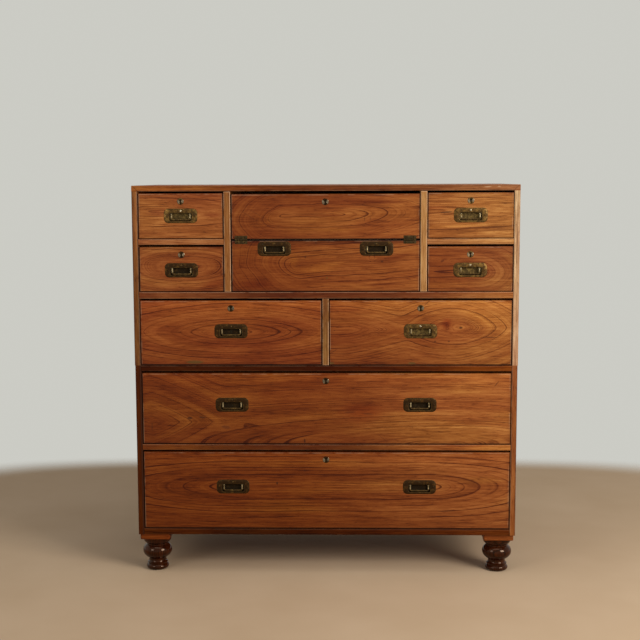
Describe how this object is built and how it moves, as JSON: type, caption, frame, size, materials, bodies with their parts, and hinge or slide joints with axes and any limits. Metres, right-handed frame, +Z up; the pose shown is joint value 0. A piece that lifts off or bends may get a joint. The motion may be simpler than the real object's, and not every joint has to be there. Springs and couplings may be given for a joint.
{
  "type": "campaign chest",
  "caption": "Two-part chest of drawers on turned feet, with a fall-front writing drawer and flush swinging bail handles.",
  "frame": {"origin": "on the floor, under the middle of the chest", "axes": "+X to the right seen from the front, +Y into the chest, +Z up"},
  "size_m": [1.037, 0.457, 1.065],
  "materials": {
    "camphor_wood": "waxed polish",
    "plain_wood": "bare planed wood",
    "dark_wood": "glossy polish",
    "brass": "aged, patinated",
    "leather": "tooled writing skiver"
  },
  "bodies": {
    "lower_case": {"lower_side_left": "camphor_wood", "lower_side_right": "camphor_wood", "lower_top_board": "camphor_wood", "locating_pegs": "dark_wood", "lower_bottom_board": "camphor_wood", "lower_back": "plain_wood", "lower_divider": "camphor_wood", "foot_blocks": "camphor_wood", "turned_feet": "dark_wood"},
    "upper_case": {"upper_side_left": "camphor_wood", "upper_side_right": "camphor_wood", "upper_top_board": "camphor_wood", "upper_bottom_board": "camphor_wood", "upper_back": "plain_wood", "upper_dividers": "camphor_wood", "upper_partitions": "camphor_wood"},
    "top_left_drawer": {"top_left_drawer_front": "camphor_wood", "top_left_drawer_box": "plain_wood", "top_left_drawer_brass": "brass"},
    "top_left_drawer_bail": {"top_left_drawer_bail": "brass"},
    "top_right_drawer": {"top_right_drawer_front": "camphor_wood", "top_right_drawer_box": "plain_wood", "top_right_drawer_brass": "brass"},
    "top_right_drawer_bail": {"top_right_drawer_bail": "brass"},
    "middle_left_drawer": {"middle_left_drawer_front": "camphor_wood", "middle_left_drawer_box": "plain_wood", "middle_left_drawer_brass": "brass"},
    "middle_left_drawer_bail": {"middle_left_drawer_bail": "brass"},
    "middle_right_drawer": {"middle_right_drawer_front": "camphor_wood", "middle_right_drawer_box": "plain_wood", "middle_right_drawer_brass": "brass"},
    "middle_right_drawer_bail": {"middle_right_drawer_bail": "brass"},
    "half_left_drawer": {"half_left_drawer_front": "camphor_wood", "half_left_drawer_box": "plain_wood", "half_left_drawer_brass": "brass"},
    "half_left_drawer_bail": {"half_left_drawer_bail": "brass"},
    "half_right_drawer": {"half_right_drawer_front": "camphor_wood", "half_right_drawer_box": "plain_wood", "half_right_drawer_brass": "brass"},
    "half_right_drawer_bail": {"half_right_drawer_bail": "brass"},
    "long_upper_drawer": {"long_upper_drawer_front": "camphor_wood", "long_upper_drawer_box": "plain_wood", "long_upper_drawer_brass": "brass"},
    "long_upper_drawer_bail_left": {"long_upper_drawer_bail_left": "brass"},
    "long_upper_drawer_bail_right": {"long_upper_drawer_bail_right": "brass"},
    "long_lower_drawer": {"long_lower_drawer_front": "camphor_wood", "long_lower_drawer_box": "plain_wood", "long_lower_drawer_brass": "brass"},
    "long_lower_drawer_bail_left": {"long_lower_drawer_bail_left": "brass"},
    "long_lower_drawer_bail_right": {"long_lower_drawer_bail_right": "brass"},
    "secretaire_drawer": {"secretaire_drawer_front": "camphor_wood", "secretaire_drawer_box": "plain_wood", "secretaire_drawer_brass": "brass", "pigeonholes": "plain_wood"},
    "secretaire_drawer_bail_left": {"secretaire_drawer_bail_left": "brass"},
    "secretaire_drawer_bail_right": {"secretaire_drawer_bail_right": "brass"},
    "fall_front": {"fall_panel": "camphor_wood", "fall_leather": "leather", "fall_brass": "brass"},
    "writing_board": {"writing_board": "camphor_wood"}
  },
  "joints": [
    {"name": "upper_case_lift", "type": "slide", "parent": "lower_case", "child": "upper_case", "axis": [0, 0, 1], "range_m": [0, 0.06]},
    {"name": "top_left_drawer_slide", "type": "slide", "parent": "upper_case", "child": "top_left_drawer", "axis": [0, -1, 0], "range_m": [0, 0.33]},
    {"name": "top_left_drawer_bail_swing", "type": "hinge", "parent": "top_left_drawer", "child": "top_left_drawer_bail", "pos_m": [-0.3875, -0.2239, 0.988], "axis": [-1, 0, 0], "range_deg": [0, 85]},
    {"name": "top_right_drawer_slide", "type": "slide", "parent": "upper_case", "child": "top_right_drawer", "axis": [0, -1, 0], "range_m": [0, 0.33]},
    {"name": "top_right_drawer_bail_swing", "type": "hinge", "parent": "top_right_drawer", "child": "top_right_drawer_bail", "pos_m": [0.3875, -0.2239, 0.988], "axis": [-1, 0, 0], "range_deg": [0, 85]},
    {"name": "middle_left_drawer_slide", "type": "slide", "parent": "upper_case", "child": "middle_left_drawer", "axis": [0, -1, 0], "range_m": [0, 0.33]},
    {"name": "middle_left_drawer_bail_swing", "type": "hinge", "parent": "middle_left_drawer", "child": "middle_left_drawer_bail", "pos_m": [-0.3875, -0.2239, 0.8418], "axis": [-1, 0, 0], "range_deg": [0, 85]},
    {"name": "middle_right_drawer_slide", "type": "slide", "parent": "upper_case", "child": "middle_right_drawer", "axis": [0, -1, 0], "range_m": [0, 0.33]},
    {"name": "middle_right_drawer_bail_swing", "type": "hinge", "parent": "middle_right_drawer", "child": "middle_right_drawer_bail", "pos_m": [0.3875, -0.2239, 0.8418], "axis": [-1, 0, 0], "range_deg": [0, 85]},
    {"name": "half_left_drawer_slide", "type": "slide", "parent": "upper_case", "child": "half_left_drawer", "axis": [0, -1, 0], "range_m": [0, 0.33]},
    {"name": "half_left_drawer_bail_swing", "type": "hinge", "parent": "half_left_drawer", "child": "half_left_drawer_bail", "pos_m": [-0.25575, -0.2239, 0.6765], "axis": [-1, 0, 0], "range_deg": [0, 85]},
    {"name": "half_right_drawer_slide", "type": "slide", "parent": "upper_case", "child": "half_right_drawer", "axis": [0, -1, 0], "range_m": [0, 0.33]},
    {"name": "half_right_drawer_bail_swing", "type": "hinge", "parent": "half_right_drawer", "child": "half_right_drawer_bail", "pos_m": [0.25575, -0.2239, 0.6765], "axis": [-1, 0, 0], "range_deg": [0, 85]},
    {"name": "long_upper_drawer_slide", "type": "slide", "parent": "lower_case", "child": "long_upper_drawer", "axis": [0, -1, 0], "range_m": [0, 0.33]},
    {"name": "long_upper_drawer_bail_left_swing", "type": "hinge", "parent": "long_upper_drawer", "child": "long_upper_drawer_bail_left", "pos_m": [-0.2553, -0.2239, 0.4749], "axis": [-1, 0, 0], "range_deg": [0, 85]},
    {"name": "long_upper_drawer_bail_right_swing", "type": "hinge", "parent": "long_upper_drawer", "child": "long_upper_drawer_bail_right", "pos_m": [0.2553, -0.2239, 0.4749], "axis": [-1, 0, 0], "range_deg": [0, 85]},
    {"name": "long_lower_drawer_slide", "type": "slide", "parent": "lower_case", "child": "long_lower_drawer", "axis": [0, -1, 0], "range_m": [0, 0.33]},
    {"name": "long_lower_drawer_bail_left_swing", "type": "hinge", "parent": "long_lower_drawer", "child": "long_lower_drawer_bail_left", "pos_m": [-0.2553, -0.2239, 0.2468], "axis": [-1, 0, 0], "range_deg": [0, 85]},
    {"name": "long_lower_drawer_bail_right_swing", "type": "hinge", "parent": "long_lower_drawer", "child": "long_lower_drawer_bail_right", "pos_m": [0.2553, -0.2239, 0.2468], "axis": [-1, 0, 0], "range_deg": [0, 85]},
    {"name": "secretaire_drawer_slide", "type": "slide", "parent": "upper_case", "child": "secretaire_drawer", "axis": [0, -1, 0], "range_m": [0, 0.33]},
    {"name": "secretaire_drawer_bail_left_swing", "type": "hinge", "parent": "secretaire_drawer", "child": "secretaire_drawer_bail_left", "pos_m": [-0.137, -0.2239, 0.8993], "axis": [-1, 0, 0], "range_deg": [0, 85]},
    {"name": "secretaire_drawer_bail_right_swing", "type": "hinge", "parent": "secretaire_drawer", "child": "secretaire_drawer_bail_right", "pos_m": [0.137, -0.2239, 0.8993], "axis": [-1, 0, 0], "range_deg": [0, 85]},
    {"name": "fall_front_hinge", "type": "hinge", "parent": "secretaire_drawer", "child": "fall_front", "pos_m": [0, -0.226, 0.9195], "axis": [1, 0, 0], "range_deg": [0, 90]},
    {"name": "writing_board_lift", "type": "slide", "parent": "secretaire_drawer", "child": "writing_board", "axis": [0, 0, 1], "range_m": [0, 0.08]}
  ]
}
